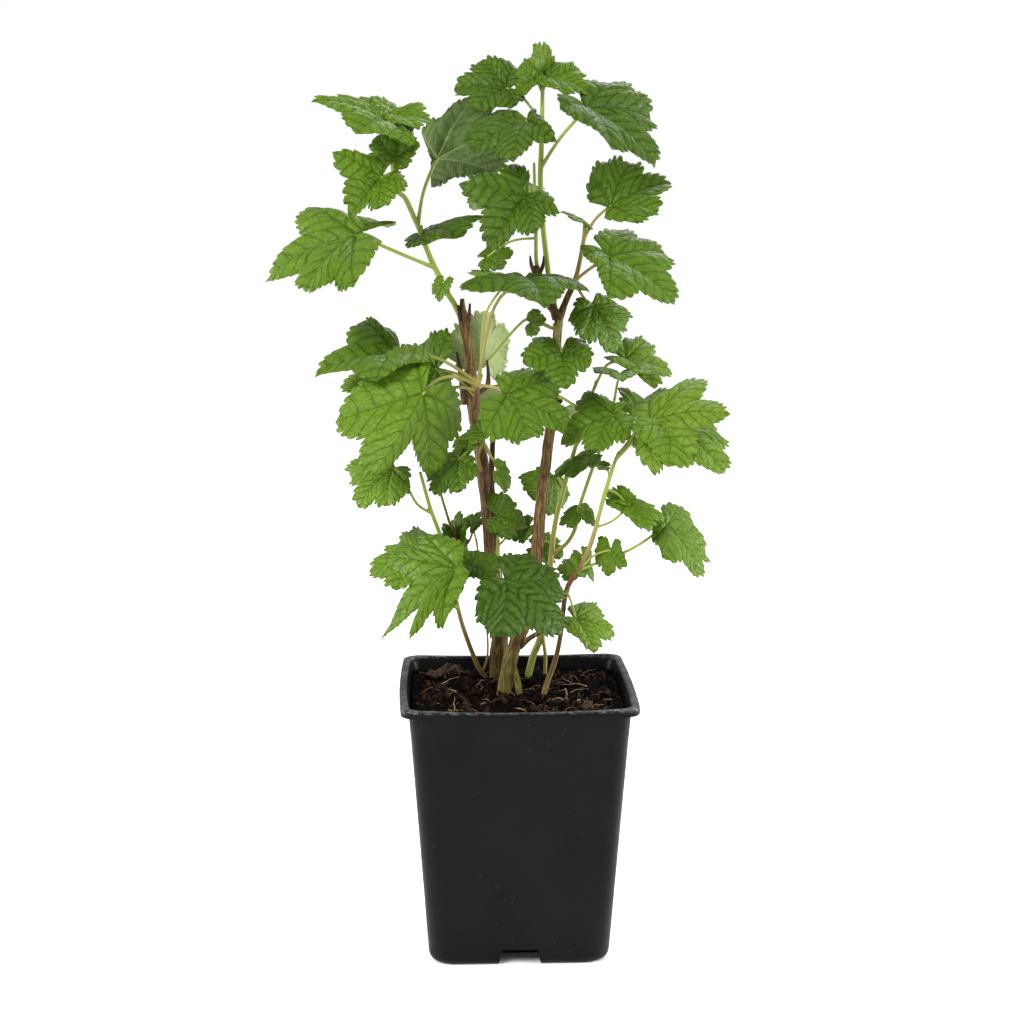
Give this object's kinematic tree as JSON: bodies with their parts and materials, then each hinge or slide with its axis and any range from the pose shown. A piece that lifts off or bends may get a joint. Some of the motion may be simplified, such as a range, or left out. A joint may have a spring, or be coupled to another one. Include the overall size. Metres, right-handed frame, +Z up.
{
  "type": "potted blackcurrant bush",
  "caption": "Young fruit bush with lobed, toothed leaves on woody canes and slender green stems, standing in peat in a square nursery pot with a lipped rim and drainage notches.",
  "frame": {"origin": "middle of the pot's flat base, on the surface that the pot stands on", "axes": "+Z up along the canes, -Y towards the side that the picture shows, +X to the picture's right"},
  "size_m": [0.2982, 0.1824, 0.582],
  "materials": {
    "black plastic": "matte, moulded",
    "peat": "moist, crumbly and fibrous",
    "bark": "dull bark with pale streaks",
    "leaf": "satin green leaf and stem"
  },
  "bodies": {
    "root": {"pot": "black plastic", "peat": "peat", "cane_left": "bark", "cane_right": "bark", "leafy_shoot_upper_left": "leaf", "leafy_shoot_top": "leaf", "leafy_shoot_top_slim": "leaf", "leafy_twig_upper_right": "leaf", "leafy_spur_left": "leaf", "leafy_spur_right": "leaf", "leafy_stem_left": "leaf", "leafy_spur_front": "leaf", "leafy_spur_bud": "leaf", "leafy_stem_back": "leaf", "leafy_stem_right": "leaf"}
  },
  "joints": []
}
